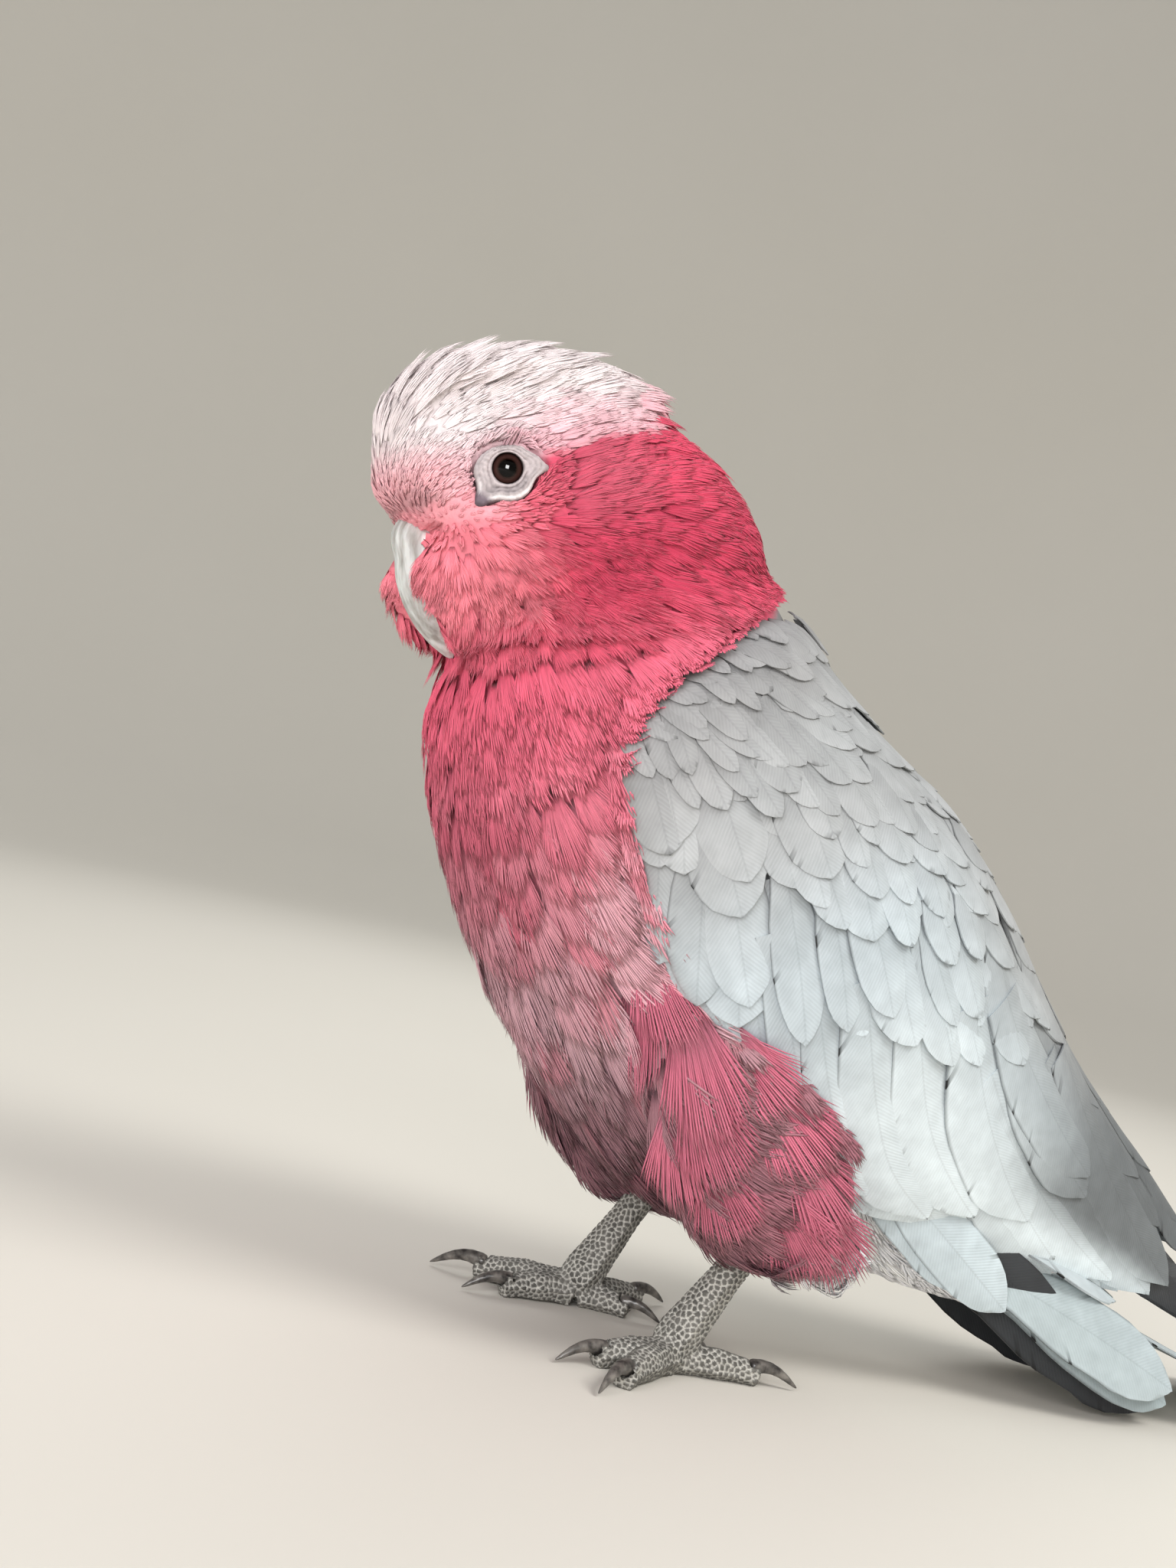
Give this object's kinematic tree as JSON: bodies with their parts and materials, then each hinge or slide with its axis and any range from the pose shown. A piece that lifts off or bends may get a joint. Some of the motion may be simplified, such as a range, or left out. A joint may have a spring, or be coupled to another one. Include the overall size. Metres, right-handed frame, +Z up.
{
  "type": "galah",
  "caption": "Galah parrot standing upright and alert, rose front, pale crest laid back, grey folded wings, tail tip on the floor.",
  "frame": {"origin": "middle of the bounding box's base, on the floor the bird stands on", "axes": "+Z up, -Y the way the bird faces, +X its left side"},
  "size_m": [0.0924, 0.3032, 0.2004],
  "materials": {
    "breast_feathers": "soft matt feathering, deep rose-pink",
    "crown_feathers": "soft matt feathering, white with a pink blush",
    "wing_feathers": "smooth pale grey feathering with a faint sheen",
    "flight_feathers": "smooth dark grey flight feathers",
    "bill_horn": "dry grey-white horn",
    "leg_skin": "dark grey skin in small pale-edged scales",
    "claw_horn": "dark grey horn with a dull shine",
    "eyeball": "wet, almost black brown",
    "bare_eye_skin": "bare grey-white wrinkled skin"
  },
  "bodies": {
    "root": {"head": "breast_feathers", "neck": "breast_feathers", "trunk": "breast_feathers", "crest": "crown_feathers", "bill_upper": "bill_horn", "bill_lower": "bill_horn", "eye_left": "eyeball", "eyelid_left": "bare_eye_skin", "wing_left": "wing_feathers", "primaries_left": "flight_feathers", "thigh_left": "breast_feathers", "shank_left": "leg_skin", "toe_left_inner_front": "leg_skin", "claw_left_inner_front": "claw_horn", "toe_left_outer_front": "leg_skin", "claw_left_outer_front": "claw_horn", "toe_left_inner_back": "leg_skin", "claw_left_inner_back": "claw_horn", "toe_left_outer_back": "leg_skin", "claw_left_outer_back": "claw_horn", "eye_right": "eyeball", "eyelid_right": "bare_eye_skin", "wing_right": "wing_feathers", "primaries_right": "flight_feathers", "thigh_right": "breast_feathers", "shank_right": "leg_skin", "toe_right_inner_front": "leg_skin", "claw_right_inner_front": "claw_horn", "toe_right_outer_front": "leg_skin", "claw_right_outer_front": "claw_horn", "toe_right_inner_back": "leg_skin", "claw_right_inner_back": "claw_horn", "toe_right_outer_back": "leg_skin", "claw_right_outer_back": "claw_horn", "rump": "wing_feathers", "tail": "wing_feathers", "tail_coverts": "wing_feathers"}
  },
  "joints": []
}
